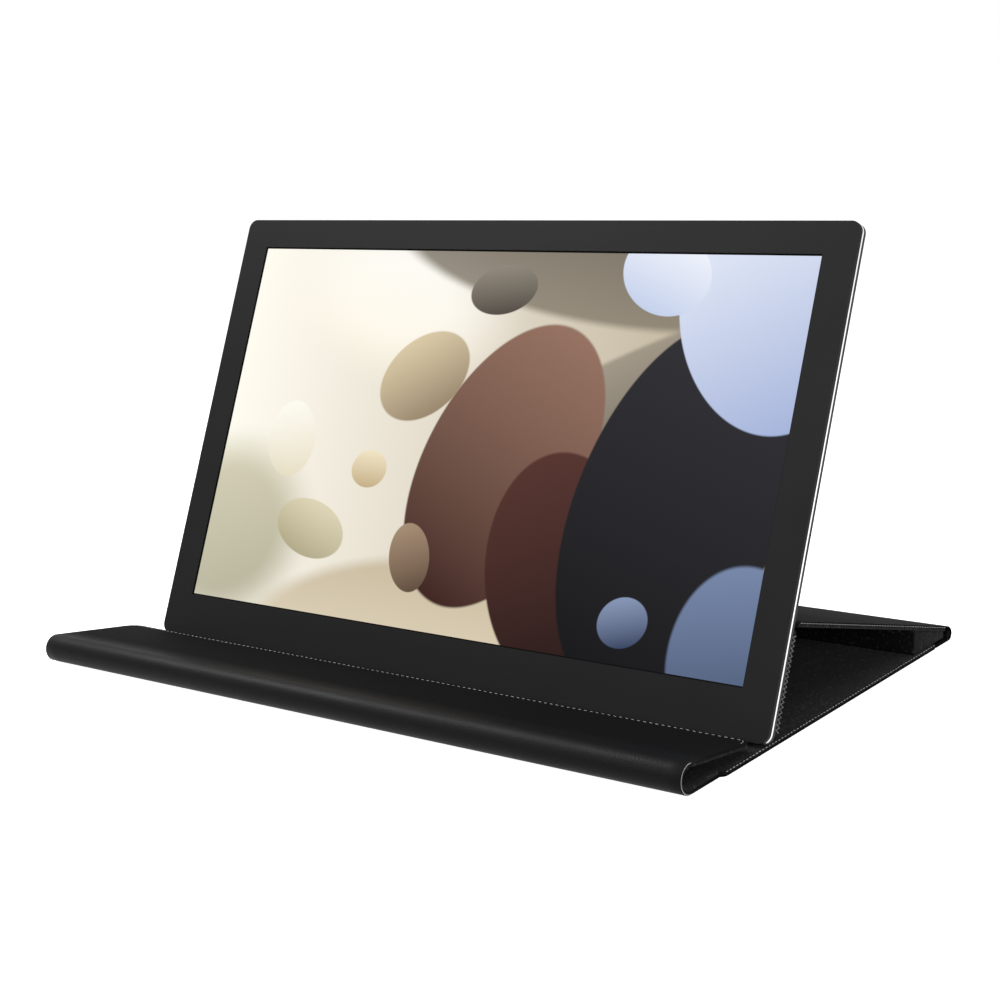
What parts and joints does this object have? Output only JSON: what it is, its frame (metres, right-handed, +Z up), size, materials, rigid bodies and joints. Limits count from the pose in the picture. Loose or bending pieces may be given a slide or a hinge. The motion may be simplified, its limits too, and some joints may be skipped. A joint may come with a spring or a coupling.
{
  "type": "portable monitor with cover",
  "caption": "Slim portable flat screen standing on its folding leather cover, which forms a wedge-shaped prop behind it and a ledge at its foot.",
  "frame": {"origin": "on the table under the middle of the screen's lower front edge", "axes": "+X to the viewer's right along the screen's width, +Y to the rear, +Z up"},
  "size_m": [0.398, 0.2411, 0.2154],
  "materials": {
    "bezel_plastic": "fine textured",
    "trim_metal": "bright",
    "shell_plastic": "fine textured",
    "display_glass": "satin screen",
    "film": "satin",
    "clear_acrylic": "clear",
    "frame_plastic": "moulded",
    "tray_steel": "plain sheet",
    "circuit_board": "solder mask",
    "chip_resin": "moulded",
    "ribbon": "polyimide",
    "screw_steel": "black oxide",
    "pad_rubber": "foam tape",
    "leather": "fine grain",
    "greyboard": "plain",
    "felt": "short pile",
    "magnet": "nickel plated"
  },
  "bodies": {
    "base": {"base_skin": "leather", "base_board": "greyboard", "base_lining": "felt", "rear_spine": "leather", "front_roll": "leather", "front_roll_lining": "felt"},
    "prop": {"prop_skin": "leather", "prop_board": "greyboard", "prop_lining": "felt", "top_crease": "leather"},
    "monitor": {"front_bezel": "bezel_plastic", "edge_trim": "trim_metal", "rear_cover": "shell_plastic", "lcd_panel": "display_glass", "optical_films": "film", "light_guide": "clear_acrylic", "reflector_sheet": "film", "panel_frame": "frame_plastic", "panel_tray": "tray_steel", "led_strip": "circuit_board", "source_board": "circuit_board", "main_board": "circuit_board", "board_chips": "chip_resin", "shield_can": "tray_steel", "usb_socket": "tray_steel", "socket_cable": "ribbon", "panel_cable": "ribbon", "case_screws": "screw_steel", "board_screws": "screw_steel", "mount_pads": "pad_rubber", "back_panel_skin": "leather", "back_panel_board": "greyboard", "back_panel_lining": "felt", "back_keepers": "tray_steel"},
    "flap": {"flap_skin": "leather", "flap_board": "greyboard", "flap_lining": "felt", "flap_magnets": "magnet"}
  },
  "joints": [
    {"name": "rear_fold", "type": "hinge", "parent": "base", "child": "prop", "pos_m": [0, 0.178, 0.00478], "axis": [-1, 0, 0], "range_deg": [0, 40], "deforming": ["rear_spine"]},
    {"name": "back_fold", "type": "hinge", "parent": "prop", "child": "monitor", "pos_m": [0, 0.03087, 0.05072], "axis": [-1, 0, 0], "range_deg": [0, 65], "deforming": ["top_crease"]},
    {"name": "flap_fold", "type": "hinge", "parent": "base", "child": "flap", "pos_m": [0, -0.05082, 0.01401], "axis": [1, 0, 0], "range_deg": [0, 165]}
  ]
}
